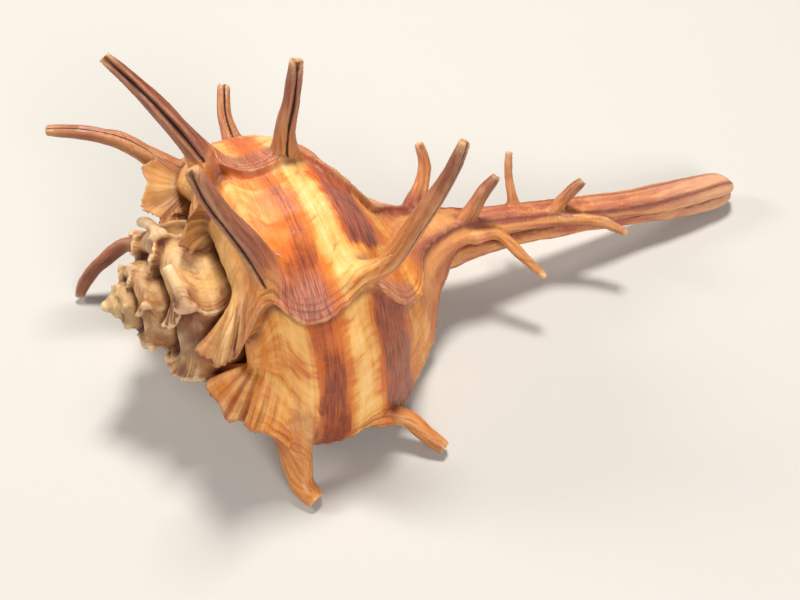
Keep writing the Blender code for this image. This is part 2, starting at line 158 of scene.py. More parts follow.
# Horns of the canal: angle, distance from the apex, path, half widths, how mauve.
CANAL_SPINES = [
    (-26.0, 67.0, [(6.9, -2.3, 0.8), (12.0, -1.8, 2.4)], 2.8, 0.9, 0.21, 0.70),
    (10.0, 76.5, [(6.6, -3.0, 1.8), (11.0, -5.4, 2.4)], 3.0, 1.0, 0.33, 1.00),
    (-26.0, 90.0, [(7.1, 0.1, 2.1), (12.0, -0.7, 3.1)], 1.8, 0.7, 0.24, 0.70),
    (13.0, 99.0, [(4.5, -2.9, 1.1), (7.5, -5.2, 1.4)], 2.4, 1.0, 0.30, 0.95),
    (55.0, 79.0, [(1.6, -4.0, -0.3), (4.3, -7.7, -5.3), (6.9, -11.3, -10.2)], 2.6, 0.8, 0.12, 0.45),
    (50.0, 101.0, [(3.9, -6.6, -1.8), (7.1, -11.2, -5.4)], 2.4, 0.9, 0.15, 0.60),
    (-80.0, 72.0, [(3.0, -0.5, 1.0), (5.0, -0.8, 1.5)], 2.0, 0.8, 0.18, 0.45),
    (-82.0, 93.0, [(2.2, -0.5, 0.8), (3.6, -0.8, 1.0)], 1.6, 0.8, 0.18, 0.45),
]

# Beads of the first whorls: radius, distance from the apex and from the axis, angle.
NUCLEUS = [(1.2, 0.8, 0.2, 60.0), (1.6, 2.1, 0.5, 250.0), (2.2, 3.8, 0.7, 80.0)]

# Aperture in the lip face: distance from the apex, centre from the axis, half width.
APERTURE = [
    (27.0, 21.5, 0.0), (28.2, 21.6, 3.5), (31.0, 21.8, 6.4), (35.0, 21.8, 8.2),
    (40.0, 20.8, 8.6), (45.0, 18.2, 7.0), (49.0, 15.8, 4.6), (53.0, 13.4, 2.3),
    (56.0, 11.8, 1.3), (62.0, 9.6, 1.1), (69.0, 7.6, 1.0), (72.0, 6.9, 0.4),
]
LIP_FACE = [
    (22.0, 6.0), (27.0, 3.0), (33.0, 9.0), (42.0, 7.0), (52.0, 13.0), (61.0, 20.0),
    (68.0, 2.0), (76.0, -20.0),
]
APERTURE_DEPTH = 0.42
APERTURE_PINCH = 0.45
HOLLOW_RINGS = 110
HOLLOW_END = -2.5
HOLLOW_FOOT_RUN = 0.05
# The aperture keeps clear of this many points of the lip face, next to the suture.
SUTURE_POINTS = 20
APERTURE_MIDDLE = (21.0, 39.0)
SLIT_FOOT = (13.4, 53.0)
SLIT_DEPTH = 0.55
SLIT_HALF_ANGLE = 15.0
SLIT_START = 8.2
SLIT_RUN = 0.8
RIM_RADIUS = 1.5
RIM_END = 57.0
RIM_GAP = 0.8
LIP_WALL = 2.6
LIP_WALL_END = 8.0

# Horns: the root, the shaft, the flare of the foot, the groove and how it opens at the tip.
ROOT_DEPTH = 2.6
ROOT_SHARE = 0.25
SHAFT_SHARE = 0.62
TAPER = 0.9
FLARE_AT = 0.3
FLARE_LENGTH = 0.75
FLARE_ACROSS = 0.25
GROOVE_DEPTH = 0.62
GROOVE_HALF_ANGLE = 0.20
TIP_OPENS_AT = 0.72
TIP_DEPTH = 0.33
TIP_HALF_ANGLE = 0.35
TIP_RECESS = 2.0
WEB_REACH = 0.9
HORN_SAMPLES = 46
# Older horns than this one have no slit and no web.
OLDEST_OPEN = -4.5
# How deep the feet of the horns lie in the whorl, in the canal and on the spire.
FOOT_SINK = 1.5
CANAL_FOOT_SINK = 0.8
STUB_SINK = 1.2
# Stubs of the spire, by varix. The first two lie along the shoulder.
STUBS = range(-7, -26, -1)
SHORT_STUBS_FROM = -9
STUB_HALF_WIDTHS = (4.6, 2.2)
STUB_MAUVE = (0.1, 0.0)
SMALLEST_STUB = 0.3

# Colour bands, by growth in varix intervals before the lip: profile stations and depth.
FIRST_BAND_LOW = [
    (-6.0, 4.3), (-2.0, 4.15), (-1.5, 4.28), (-1.25, 3.6), (-1.0, 3.4), (-0.999, 4.0),
    (-0.6, 4.12), (0.0, 4.02),
]
FIRST_BAND_HIGH = [
    (-6.0, 4.7), (-2.0, 4.45), (-1.5, 4.7), (-1.0, 4.62), (-0.999, 4.66), (0.0, 4.76),
]
FIRST_BAND_DEPTH = [
    (-6.0, 0.3), (-2.0, 0.35), (-1.999, 0.55), (-1.5, 0.70), (-1.2, 0.65), (-1.0, 0.75),
    (-0.999, 0.80), (-0.90, 0.55), (-0.70, 0.80), (-0.60, 1.0), (0.0, 1.0),
]
SECOND_BAND_DEPTH = [
    (-6.0, 0.3), (-2.0, 0.30), (-1.999, 0.55), (-1.75, 1.0), (-1.0, 1.0), (-0.999, 0.70),
    (-0.8, 0.95), (0.0, 0.85),
]
SECOND_BAND = (5.52, 6.38)
SECOND_BAND_START = -1.20
SECOND_BAND_SLANT = 0.28
# Mauve patches: stations, growth where they start and end, depth.
DUSK_PATCHES = [
    (3.2, 4.7, -1.40, -1.0, 0.70), (5.4, 6.9, -1.26, -1.0, 0.75),
    (3.0, 5.0, -2.35, -2.0, 0.75), (3.0, 4.6, -3.30, -3.0, 0.50), (3.1, 4.25, -0.60, 0.0, 0.50),
]

# The angles at the roots of the horns are smoothed this many times, by this share. Horns with
# a foot of less than LARGE_HORN in half width keep theirs.
ROOT_ROUNDS = 30
ROOT_BLEND = 0.85
LARGE_HORN = 3.5
# Margin around the box of a horn's path, past which no point is part of the horn, and the
# distance from a slit that stands for far away.
HORN_MARGIN = 6.0
FAR_FROM_SLIT = 9.0

# Fine relief in millimetres: heights, and the spacing of what repeats.
CORD_HEIGHT = 0.07
CORD_SPACING = 2.4
CORD_UNEVEN = 0.05
GROWTH_LINES = [(0.10, 11.0, 3), (0.06, 31.0, 4)]
LAMELLA_HEIGHT = 0.30
LAMELLA_WIDTH = 0.014
CRIMP_HEIGHT = 0.30
CRIMP_SPACING = 1.9
LUMPS = [(0.28, 7.0, 1), (0.12, 2.6, 2)]

# Grain of the fused mesh and its face count.
FUSE_GRAIN = 0.40
TRIANGLES = 190000

# Floor and lights, in metres.
FLOOR_REACH = 3.0
FLOOR_GAP = 0.0003
FLOOR_COLOUR = (0.56, 0.55, 0.53, 1.0)
LIGHTS_AIM = (-0.01, 0.0, 0.03)

# Camera: the point it looks at, its distance, and how it is turned.
AIM = (-16.39, -11.92, 18.60)
CAMERA_DISTANCE = 233.5
CAMERA_ELEVATION = 48.6
CAMERA_TURN = 22.95
CAMERA_ROLL = -0.25
LENS = 52.0


def smooth_step(x):
    x = np.clip(x, 0.0, 1.0)
    return x * x * (3.0 - 2.0 * x)


def fade_in(x, start, run):
    """0 up to start, then rising smoothly to 1 over the run."""
    return smooth_step((x - start) / run)


def fade_out(x, end, run):
    """1, falling smoothly to 0 at the end, over the run before it."""
    return smooth_step((end - x) / run)


def window(x, low, high, edge):
    """1 between low and high, with soft edges."""
    return smooth_step((x - low) / edge + 0.5) * smooth_step((high - x) / edge + 0.5)


def unit(vectors, least=0.0):
    """The vectors at length 1. The least length keeps them from a division by 0."""
    return vectors / (np.linalg.norm(vectors, axis=1)[:, None] + least)


def lengths(points):
    """Distance of each point from the first, along the line."""
    return np.concatenate([[0.0], np.cumsum(np.linalg.norm(np.diff(points, axis=0), axis=1))])


def curve(points, t):
    """Smooth curve through the points, t counted in points."""
    p = np.asarray(points, float)
    t = np.asarray(t, float)
    i = np.clip(t.astype(int), 0, len(p) - 2)
    f = (t - i)[:, None]

    def at(k):
        return p[np.clip(k, 0, len(p) - 1)]

    a, b, c, d = at(i - 1), at(i), at(i + 1), at(i + 2)
    return 0.5 * (2 * b + (c - a) * f + (2 * a - 5 * b + 4 * c - d) * f ** 2
                  + (3 * b - a - 3 * c + d) * f ** 3)


def table(rows, t):
    """The rows' second column at t, on straight lines between the rows."""
    rows = np.asarray(rows, float)
    return np.interp(t, rows[:, 0], rows[:, 1])


def rounded(rows, t):
    """The table with its corners rounded."""
    return np.mean([table(rows, t + shift) for shift in np.linspace(-0.25, 0.25, 7)], axis=0)


def wander(x, seed):
    """Smooth random line through x, between -1 and 1."""
    values = np.random.default_rng(seed).uniform(-1.0, 1.0, 512)
    i = np.floor(x).astype(int)
    f = smooth_step(x - i)
    return values[i % 512] * (1.0 - f) + values[(i + 1) % 512] * f


DIP = math.radians(AXIS_DIP)
ALONG = np.array([math.cos(DIP), 0.0, -math.sin(DIP)])
ABOVE = np.array([math.sin(DIP), 0.0, math.cos(DIP)])
FRONT = np.array([0.0, -1.0, 0.0])
APEX = np.array(CANAL_TIP) + np.array(ORIGIN_SHIFT) - SHELL_LENGTH * ALONG


def outward(angle):
    a = np.radians(np.asarray(angle, float))[..., None]
    return np.cos(a) * ABOVE + np.sin(a) * FRONT


def place(r, u, angle):
    """Point at distance r from the axis, u from the apex, at an angle about the axis."""
    r = np.asarray(r, float)[..., None]
    u = np.asarray(u, float)[..., None]
    return APEX + u * ALONG + r * outward(angle) + table(CANAL_BOW, u) * ABOVE


def varix_rise(q):
    """How far the growth line q has risen to a varix: 1 on the old lip, 0 between two."""
    m = q * 360.0 / VARIX_STEP
    behind = np.ceil(m - TINY) - m
    ahead = m - np.floor(m + TINY)
    return np.maximum(np.clip(1.0 - behind / VARIX_CLIMB, 0.0, 1.0) ** 2,
                      np.exp(-(ahead / VARIX_DROP) ** 2))


def growth_line(q, t):
    """Radius, distance from the apex and angle along the growth line q turns back."""
    step = 0.02
    ru = curve(PROFILE, t)
    ahead, back = (curve(PROFILE, np.clip(t + s, 0, LAST_STATION)) for s in (step, -step))
    tangent = unit(ahead - back, TINY)
    normal = np.stack([tangent[:, 1], -tangent[:, 0]], -1)
    wave = rounded(LIP_WAVE, t)
    if q > -1.0 / VARICES_PER_TURN:
        last = smooth_step(1.0 + q * VARICES_PER_TURN)
        wave += last * np.where(t < SHOULDER, table(LAST_LIP_WAVE, t) - wave, 0.0)
    turn = q + wave / 360.0
    swell = SWELL * np.exp(-((turn - SWELL_TURN) / SWELL_WIDTH) ** 2)
    size = WHORL_GROWTH ** turn * (1.0 + swell)
    canal = fade_in(t, BODY_END, CANAL_START - BODY_END)
    size = size * (1.0 - canal) + canal
    flutes = FLUTE_HEIGHT * np.cos(2 * math.pi * FLUTES_PER_STATION * t)
    rise = varix_rise(q)
    ramp = fade_out(t, FRILL_START, FRILL_RUN)
    # The growth lines that lead up to an old lip count to it.
    keep = table(FRILL_SHARE, np.round(q * VARICES_PER_TURN + 0.2))
    height = rise * table(VARIX_HEIGHT, t) * (1.0 - ramp * (1.0 - keep))
    lean = FRILL_LEAN * rise * height * ramp / ru[:, 0].clip(LEAN_RADIUS)
    lift = height * (1.0 + flutes * ramp)
    ru = (ru + normal * lift[:, None]) * size[:, None]
    gap = np.abs((q + 0.5) % 1.0 - 0.5) * 360.0
    slit = np.exp(-(gap / SLIT_HALF_ANGLE) ** 2) * fade_in(t, SLIT_START, SLIT_RUN)
    return ru[:, 0] * (1.0 - SLIT_DEPTH * slit), ru[:, 1], LIP_ANGLE + 360.0 * turn + np.degrees(lean)


def grid_faces(rows, columns, start, closed=False):
    """Faces between rows of points. A closed grid joins its last column to its first."""
    last = columns if closed else columns - 1
    return [(start + i * columns + j, start + i * columns + (j + 1) % columns,
             start + (i + 1) * columns + (j + 1) % columns, start + (i + 1) * columns + j)
            for i in range(rows - 1) for j in range(last)]


def capped(values):
    """The values with the first and the last of them twice."""
    return np.concatenate([values[:1], values, values[-1:]])


def section(q, stations):
    """Growth line q with a point on the axis before and after it."""
    r, u, angle = growth_line(q, stations)
    return np.concatenate([[0.0], r, [0.0]]), capped(u), capped(angle)


def sweep(first, last, step, stations):
    """The sections between two turns, and their growth coordinates."""
    count = int(round((last - first) * 360.0 / step)) + 1
    turns = np.linspace(first, last, count)
    sections = [section(q, stations) for q in turns]
    rows = [place(*s) for s in sections]
    r, u, angle = sections[0]
    rows.insert(0, place(0.0 * r, u, angle))
    growth = np.concatenate([turns[:1], turns]) * VARICES_PER_TURN
    return rows, growth, sections[-1]


def together(growth, station, inside):
    """One row of growth coordinates for each point."""
    return np.stack(np.broadcast_arrays(growth, station, inside), -1).reshape(-1, 3)


def coordinates(growth, stations, inside):
    """The growth coordinates of the rows of points."""
    return together(growth[:, None], capped(stations), inside[:, None])


def spire():
    """All turns but the last, closed at both ends."""
    stations = np.linspace(0.0, BODY_END, SPIRE_SAMPLES)
    rows, growth, (r, u, angle) = sweep(-SPIRE_TURNS, SPIRE_END, SPIRE_STEP, stations)
    rows.append(place(0.0 * r, u, angle))
    growth = np.append(growth, growth[-1])
    faces = grid_faces(len(rows), len(r), 0, closed=True)
    return np.concatenate(rows), faces, coordinates(growth, stations, 0.0 * growth)


def lip_angle_at(u):
    return LIP_ANGLE + table(LIP_FACE, u)


def aperture_at(u):
    """Middle and half width of the aperture at a distance from the apex."""
    rows = np.asarray(APERTURE, float)
    middle = np.interp(u, rows[:, 0], rows[:, 1])
    return middle, np.interp(u, rows[:, 0], rows[:, 2], left=0.0, right=0.0)


def hollow(across, along, start):
    """The hollow behind the aperture, from its edge back along the coil to a closed end."""
    verts = []
    turns = -APERTURE_DEPTH * np.arange(HOLLOW_RINGS) / (HOLLOW_RINGS - 1)
    for q in turns:
        size = WHORL_GROWTH ** q
        pinch = 1.0 - APERTURE_PINCH * (q / APERTURE_DEPTH) ** 2
        foot = fade_in(-q, 0.0, HOLLOW_FOOT_RUN) * (along > SLIT_FOOT[1])
        ring_r = across + foot * (SLIT_FOOT[0] - across)
        ring_u = along + foot * (SLIT_FOOT[1] - along)
        ring_r = (APERTURE_MIDDLE[0] + (ring_r - APERTURE_MIDDLE[0]) * pinch) * size
        ring_u = (APERTURE_MIDDLE[1] + (ring_u - APERTURE_MIDDLE[1]) * pinch) * size
        verts.extend(place(ring_r, ring_u, lip_angle_at(along) + 360.0 * q))
    faces = grid_faces(HOLLOW_RINGS, len(along), start, closed=True)
    verts.append(np.mean(verts[-len(along):], axis=0))
    end = start + len(verts) - 1
    ring = end - len(along)
    faces += [(ring + j, ring + (j + 1) % len(along), end) for j in range(len(along))]
    growth = np.append(np.repeat(turns * VARICES_PER_TURN, len(along)), HOLLOW_END)
    return verts, faces, together(growth, MID_WHORL, 1.0)


def last_whorl():
    """The last turn with its canal, the lip face and the hollow behind the aperture."""
    stations = np.concatenate([np.linspace(0.0, CANAL_START, BODY_SAMPLES),
                               np.linspace(CANAL_START + 0.1, LAST_STATION, CANAL_SAMPLES)])
    rows, growth, (r, u, angle) = sweep(LAST_WHORL_START, 0.0, LAST_WHORL_STEP, stations)
    n = len(r)
    inward = unit(np.stack([-np.gradient(u), np.gradient(r)], -1), TINY)
    wall = np.concatenate([[0.0], LIP_WALL * fade_out(stations, LIP_WALL_END, 1.0), [0.0]])
    r, u = r + inward[:, 0] * wall, u + inward[:, 1] * wall
    rows.append(place(r, u, angle))
    middle, half = aperture_at(u)
    open_here = (half > 0.05) & (np.arange(n) > SUTURE_POINTS)
    middle = np.where(open_here, middle, 0.5 * r)
    half = np.where(open_here, half, 0.0)
    for radius in (middle + half, middle - half, 0.0 * r):
        rows.append(place(radius, u, lip_angle_at(u)))
    inside = np.concatenate([np.zeros(len(growth)), [0.5, 1.0, 1.0, 0.8]])
    growth = np.concatenate([growth, np.zeros(4)])
    faces = grid_faces(len(rows) - 2, n, 0, closed=True)
    faces += grid_faces(2, n, (len(rows) - 2) * n, closed=True)
    outer = (len(rows) - 3) * n
    faces += [(outer + j, outer + j + 1, outer + n + j + 1, outer + n + j)
              for j in range(n - 1) if not (open_here[j] and open_here[j + 1])]
    across = np.concatenate([(middle + half)[open_here], (middle - half)[open_here][::-1]])
    along = np.concatenate([u[open_here], u[open_here][::-1]])
    verts = list(np.concatenate(rows))
    hollow_verts, hollow_faces, hollow_where = hollow(across, along, len(verts))
    where = np.concatenate([coordinates(growth, stations, inside), hollow_where])
    return np.array(verts + hollow_verts), faces + hollow_faces, where


def tube(path, across, radii_a, radii_b, where, groove=None, recess=0.0, sides=28):
    """Closed tube along a path, all at one place of growth. radii_a lie along `across`,
    radii_b at right angles to it."""
    direction = unit(np.gradient(path, axis=0))
    theta = np.linspace(0, 2 * math.pi, sides, endpoint=False)
    verts = []
    for i, centre in enumerate(path):
        a = across - direction[i] * (across @ direction[i])
        a /= np.linalg.norm(a)
        b = np.cross(direction[i], a)
        ring = np.ones(sides)
        if groove is not None:
            away = np.minimum(theta, 2 * math.pi - theta)
            ring -= groove[i, 0] * np.exp(-(away / groove[i, 1]) ** 2)
        verts.append(centre + (ring * np.cos(theta) * radii_a[i])[:, None] * a
                     + (ring * np.sin(theta) * radii_b[i])[:, None] * b)
    verts = list(np.concatenate(verts))
    faces = grid_faces(len(path), sides, 0, closed=True)
    base = len(path) * sides
    verts.append(path[0])
    verts.append(path[-1] - direction[-1] * recess)
    for j in range(sides):
        k = (j + 1) % sides
        faces.append((j, k, base))
        faces.append((base - sides + j, base - sides + k, base + 1))
    return np.array(verts), faces, np.tile([where], (len(verts), 1))


class Horn:
    """A horn with an open groove along the side that faces growth."""

    def __init__(self, at, where, path, foot_half, tip_half, foot_mauve, tip_mauve, size=1.0,
                 worn=False):
        foot, out, growth = place(*at), outward(at[2]), outward(at[2] + 90.0)
        via = [foot + p[0] * out - p[1] * ALONG - p[2] * growth for p in path]
        lean = via[0] - foot
        lean /= np.linalg.norm(lean)
        points = [foot - ROOT_DEPTH * size * (0.7 * out + 0.3 * lean), foot] + via
        t = np.linspace(0, len(points) - 1, HORN_SAMPLES)
        self.line = curve(points, t)
        self.reach = np.clip((t - 1) / (len(points) - 2), 0.0, 1.0)
        root = ROOT_SHARE + (1.0 - ROOT_SHARE) * smooth_step(t / 0.9)
        shaft = foot_half * SHAFT_SHARE - tip_half
        width = (tip_half + shaft * (1 - self.reach) ** TAPER) * root
        flare = OWN_FLARES.get(where, FLARE)
        flare = foot_half * flare * np.exp(-((t - FLARE_AT) / FLARE_LENGTH) ** 2) * root
        self.growth, self.where = growth, where
        self.mauve = foot_mauve + (tip_mauve - foot_mauve) * self.reach
        self.pale = PALE_SIDES.get(where, 0.0)
        self.open = OPEN_SLITS.get(where, SLIT_OPENING)
        shift = WEB_REACH * foot_half * (1 - self.reach) ** 1.5
        self.web = self.line + (shift * smooth_step(t / 0.8))[:, None] * (ALONG - 0.6 * out)
        self.web_width = width * (1 - 0.6 * self.reach)
        self.across, self.side = width + FLARE_ACROSS * flare, width + flare
        opening = fade_in(self.reach, TIP_OPENS_AT, 1.0 - TIP_OPENS_AT)
        self.groove = np.stack([
            (GROOVE_DEPTH + TIP_DEPTH * opening) * fade_in(t, 0.6, 0.8),
            GROOVE_HALF_ANGLE + TIP_HALF_ANGLE * opening,
        ], -1)
        self.recess = TIP_RECESS * size
        if worn:
            self.groove[:, 0] = 0.0
            self.recess = 0.0
        self.arc = lengths(self.line)

    def web_surface(self):
        """Fills the angle on the canal side of an older shoulder horn."""
        return tube(self.web, self.growth, 0.8 * self.web_width, self.web_width,
                    (*self.where, 0.0))

    def surface(self):
        return tube(self.line, self.growth, self.across, self.side, (*self.where, 0.0),
                    self.groove, self.recess)


def foot_at(q, station, sink):
    """Foot of a horn that is sunk into its whorl: radius, distance from the apex, angle."""
    r, u, angle = growth_line(q, np.array([station]))
    return r[0] - sink, u[0], angle[0]


def varix_horns():
    """The horns of the last turn."""
    for varix, station, *form in SPINES:
        foot = foot_at(varix * VARIX_STEP / 360.0, station, FOOT_SINK)
        yield Horn(foot, (varix, station), *form)


def spire_horns():
    """Worn stubs of the older shoulder horns, left standing on the spire."""
    for varix in STUBS:
        q = varix * VARIX_STEP / 360.0
        size = WHORL_GROWTH ** q
        lying = varix > SHORT_STUBS_FROM
        path = np.array(LYING_STUB if lying else SHORT_STUB) * size
        half_widths = [half * size for half in STUB_HALF_WIDTHS]
        yield Horn(foot_at(q, SHOULDER, STUB_SINK * size), (varix, SHOULDER), path, *half_widths,
                   *STUB_MAUVE, max(size, SMALLEST_STUB), worn=lying)


def canal_horns():
    """The short horns of the canal, which count as grown between two lips."""
    for angle, u, *form in CANAL_SPINES:
        stations = np.linspace(8.0, 13.0, 200)
        along = curve(PROFILE, stations)
        r = np.interp(u, along[:, 1], along[:, 0])
        t = np.interp(u, along[:, 1], stations)
        yield Horn((r - CANAL_FOOT_SINK, u, angle), (-0.5, t), *form)


def aperture_rim():
    """A bead around the aperture, thick on the side of the columella, thin at its ends."""
    t = np.linspace(-1.0, 1.0, 120)
    u = np.interp(np.abs(t), [0.0, 1.0], [APERTURE[0][0], RIM_END])
    middle, half = aperture_at(u)
    radius = RIM_RADIUS * np.where(t < 0, 1.35, 0.8)
    radius = radius * (1.0 - 0.85 * fade_in(np.abs(t), 0.7, 0.3))
    line = place(middle + np.sign(t) * (half + RIM_GAP), u, lip_angle_at(u))
    return tube(line, outward(LIP_ANGLE + 100.0), radius, radius, (0.0, MID_WHORL, 1.0), sides=14)


def nucleus():
    """The beads of the first whorls at the very top of the spire."""
    along = np.linspace(-1.0, 1.0, 13)
    for size, u, r, angle in NUCLEUS:
        line = place(r, u, angle) + size * along[:, None] * ALONG
        radius = size * np.sqrt(np.clip(1.02 - along ** 2, 0.05, 1.0))
        yield tube(line, ABOVE, radius, radius, (-36.0, 1.0, 0.0), sides=20)


def gather(pieces):
    """Several surfaces as one: points, faces and growth coordinates."""
    verts, faces, where = [], [], []
    count = 0
    for v, f, w in pieces:
        verts.append(v)
        where.append(w)
        faces += [tuple(k + count for k in face) for face in f]
        count += len(v)
    return np.concatenate(verts), faces, np.concatenate(where)


def fuse(verts, faces):
    """One closed mesh of all the overlapping surfaces."""
    mesh = bpy.data.meshes.new("murex_shell_fine")
    mesh.from_pydata((verts * MM).tolist(), [], faces)
    shell = bpy.data.objects.new("shell", mesh)
    bpy.context.scene.collection.objects.link(shell)
    grain = shell.modifiers.new("fuse", "REMESH")
    grain.mode = "VOXEL"
    grain.voxel_size = FUSE_GRAIN * MM
    soften = shell.modifiers.new("soften", "SMOOTH")
    soften.factor = 0.5
    soften.iterations = 2
    count = len(shell.evaluated_get(bpy.context.evaluated_depsgraph_get()).data.polygons)
    thin = shell.modifiers.new("thin", "DECIMATE")
    thin.ratio = min(1.0, TRIANGLES / (2.0 * count))
    thin.use_collapse_triangulate = True
    evaluated = shell.evaluated_get(bpy.context.evaluated_depsgraph_get())
    fused = bpy.data.meshes.new_from_object(evaluated)
    shell.modifiers.clear()
    shell.data = fused
    return shell


def read(rows, name):
    """The vectors that each of the rows of a mesh holds under the name."""
    values = np.empty(len(rows) * 3, np.float32)
    rows.foreach_get(name, values)
    return values.reshape(-1, 3).astype(float)


def nearest_growth(points, verts, faces, where):
    """Growth coordinates of the nearest place on the drawn surfaces."""
    triangles = []
    for f in faces:
        triangles.append((f[0], f[1], f[2]))
        if len(f) == 4:
            triangles.append((f[0], f[2], f[3]))
    tree = BVHTree.FromPolygons(verts.tolist(), triangles)
    hits = [tree.find_nearest(p) for p in points.tolist()]
    spot = np.array([h[0] for h in hits], float)
    corner = np.array(triangles)[[h[2] for h in hits]]
    a, b, c = verts[corner[:, 0]], verts[corner[:, 1]], verts[corner[:, 2]]
    ab, ac, ap = b - a, c - a, spot - a
    d00, d01, d11 = (ab * ab).sum(1), (ab * ac).sum(1), (ac * ac).sum(1)
    d20, d21 = (ap * ab).sum(1), (ap * ac).sum(1)
    area = d00 * d11 - d01 * d01 + 1e-12
    v = np.clip((d11 * d20 - d01 * d21) / area, 0.0, 1.0)[:, None]
    w = np.clip((d00 * d21 - d01 * d20) / area, 0.0, 1.0)[:, None]
    return where[corner[:, 0]] * (1 - v - w) + where[corner[:, 1]] * v + where[corner[:, 2]] * w


def cross_axes(horn):
    """Directions across the horn at each of its samples: towards growth, and to the side."""
    direction = unit(np.gradient(horn.line, axis=0))
    front = unit(horn.growth - direction * (direction @ horn.growth)[:, None])
    return front, np.cross(direction, front)


def horn_fields(points, horns):
    """For each point: its share in a horn, how far out, how mauve, how pale, its place around
    and along the horn, its share in a large root, and its side and distance from the slit."""
    out = {name: np.zeros(len(points))
           for name in ("horn", "reach", "horn_mauve", "pale", "around", "along", "root",
                        "open")}
    out["slit"] = np.full(len(points), FAR_FROM_SLIT)
    for horn in horns:
        low, high = horn.line.min(0) - HORN_MARGIN, horn.line.max(0) + HORN_MARGIN
        near = np.nonzero(((points > low) & (points < high)).all(1))[0]
        if not len(near):
            continue
        p = points[near]
        gap = np.linalg.norm(p[:, None, :] - horn.line[None, :, :], axis=2)
        size = np.maximum(horn.across, horn.side)
        k = (gap / size).argmin(1)
        share = gap[np.arange(len(p)), k] / size[k]
        reach, size = horn.reach[k], size[k]
        weight = fade_out(share, 1.9, 0.8) * fade_in(reach, 0.0, 0.30)
        root = fade_out(share, 2.4, 0.8) * fade_out(reach, 0.45, 0.25)
        root *= fade_in(horn.side.max(), LARGE_HORN, 2.0)
        out["root"][near] = np.maximum(out["root"][near], root)
        growthward, sideward = cross_axes(horn)
        away = p - horn.line[k]
        side, front = (away * sideward[k]).sum(1), (away * growthward[k]).sum(1)
        if horn.where[0] > OLDEST_OPEN and horn.where[1] < BODY_END:
            facing = smooth_step(2.0 * front / size) * fade_out(share, 1.3, 0.2)
            facing *= fade_in(reach, 0.03, 0.04)
            gape = 0.36 + 0.32 * np.sin(math.pi * reach) + 0.14 * wander(0.35 * horn.arc[k], 21)
            gape *= horn.open * (1.0 + 1.2 * fade_in(reach, 0.88, 0.1))
            first = facing > out["open"][near]
            out["open"][near[first]] = facing[first]
            out["slit"][near[first]] = (side / gape)[first]
        better = weight > out["horn"][near]
        pale = horn.pale * smooth_step(0.5 - side / 0.6) * fade_out(reach, 0.72, 0.35)
        found = {"horn": weight, "reach": reach, "horn_mauve": horn.mauve[k], "pale": pale,
                 "around": np.arctan2(side, front) * size, "along": horn.arc[k]}
        for name, values in found.items():
            out[name][near[better]] = values[better]
    return out


def neighbours_mean(mesh, values):
    """Mean of a value over the neighbours of each vertex."""
    edges = np.empty(len(mesh.edges) * 2, np.int32)
    mesh.edges.foreach_get("vertices", edges)
    a, b = edges.reshape(-1, 2).T
    count = np.bincount(a, minlength=len(values)) + np.bincount(b, minlength=len(values))
    if values.ndim == 1:
        total = (np.bincount(a, values[b], minlength=len(values))
                 + np.bincount(b, values[a], minlength=len(values)))
        return total / count
    return np.stack([neighbours_mean(mesh, values[:, i]) for i in range(values.shape[1])], -1)


def soften_field(mesh, values, times):
    for _ in range(times):
        values = 0.5 * values + 0.5 * neighbours_mean(mesh, values)
    return values


def hollowness(mesh, points, normals, spread, soften):
    """Positive in hollows, negative on edges."""
    mean = points
    for _ in range(spread):
        mean = neighbours_mean(mesh, mean)
    return soften_field(mesh, ((mean - points) * normals).sum(1), soften)


def arc_at(t):
    """Distance along the profile in millimetres, by station."""
    stations = np.linspace(0.0, LAST_STATION, 1401)
    return np.interp(t, stations, lengths(curve(PROFILE, stations)))


def lumps(points, scale, seed):
    """Soft lumps of the given size in millimetres, about -1 to 1."""
    shift = Vector((seed * 7.1, seed * 3.7, seed * 5.3))
    return np.array([noise.noise(Vector(p) / scale + shift) for p in points.tolist()])


def relief(points, growth, station, inside, horn):
    """Height of the fine relief in millimetres."""
    arc = arc_at(station)
    canal = fade_in(station, BODY_END, 2.0)
    size = WHORL_GROWTH ** (growth / VARICES_PER_TURN) * (1 - canal) + canal
    outer = 1.0 - np.clip(inside * 2.0, 0.0, 1.0)
    cords = CORD_HEIGHT * np.cos(2 * math.pi * arc / CORD_SPACING)
    cords = (cords + CORD_UNEVEN * wander(arc * 0.9, 11)) * window(station, 2.8, 9.0, 1.0)
    lines = sum(height * wander(growth * rate, seed) for height, rate, seed in GROWTH_LINES)
    after = growth - np.floor(growth)
    edge = np.minimum(after, 1.0 - after)
    lamella = LAMELLA_HEIGHT * np.exp(-(edge / LAMELLA_WIDTH) ** 2)
    lamella *= window(station, 2.5, 8.0, 0.8)
    # The frills are crimped along their edges.
    waves = arc / CRIMP_SPACING + 0.35 * wander(growth * 5.0 + arc * 0.3, 9)
    crimps = CRIMP_HEIGHT * np.sin(2 * math.pi * waves)
    crimps *= fade_out(station, 3.0, 0.6) * fade_in(after, 0.62, 0.36)
    fine = cords * (1 - 0.8 * horn) + (lines + lamella) * (1 - horn) + crimps
    soft = sum(height * lumps(points, scale, seed) for height, scale, seed in LUMPS)
    return outer * (size * fine + soft * np.minimum(size, 1.0))


def write_points(mesh, points):
    mesh.vertices.foreach_set("co", (points * MM).astype(np.float32).ravel())
    mesh.update()


